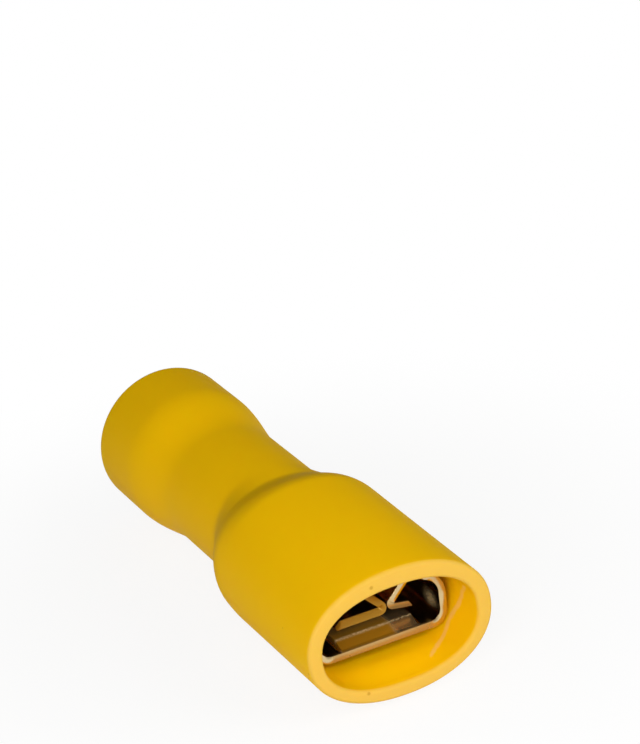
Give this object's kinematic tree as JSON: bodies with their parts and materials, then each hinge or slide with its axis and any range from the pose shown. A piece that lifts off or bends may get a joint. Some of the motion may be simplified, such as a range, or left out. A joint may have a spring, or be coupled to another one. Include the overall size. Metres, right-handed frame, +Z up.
{
  "type": "female spade terminal",
  "caption": "Insulated female spade terminal: a flared oval PVC sleeve over a tin-plated crimp terminal whose rolled receptacle grips a flat tab.",
  "frame": {"origin": "centre of the bounding box's footprint, on the surface that the terminal lies on", "axes": "+Y along the sleeve from the oval tab mouth to the round wire entry, +X across the tab, +Z up, out of the broad side that lies over the receptacle's rolled edges"},
  "size_m": [0.01, 0.0274, 0.0082],
  "materials": {
    "sleeve_pvc": "satin",
    "tinned_brass": "satin"
  },
  "bodies": {
    "root": {"insulating_sleeve": "sleeve_pvc", "crimp_terminal": "tinned_brass"}
  },
  "joints": []
}
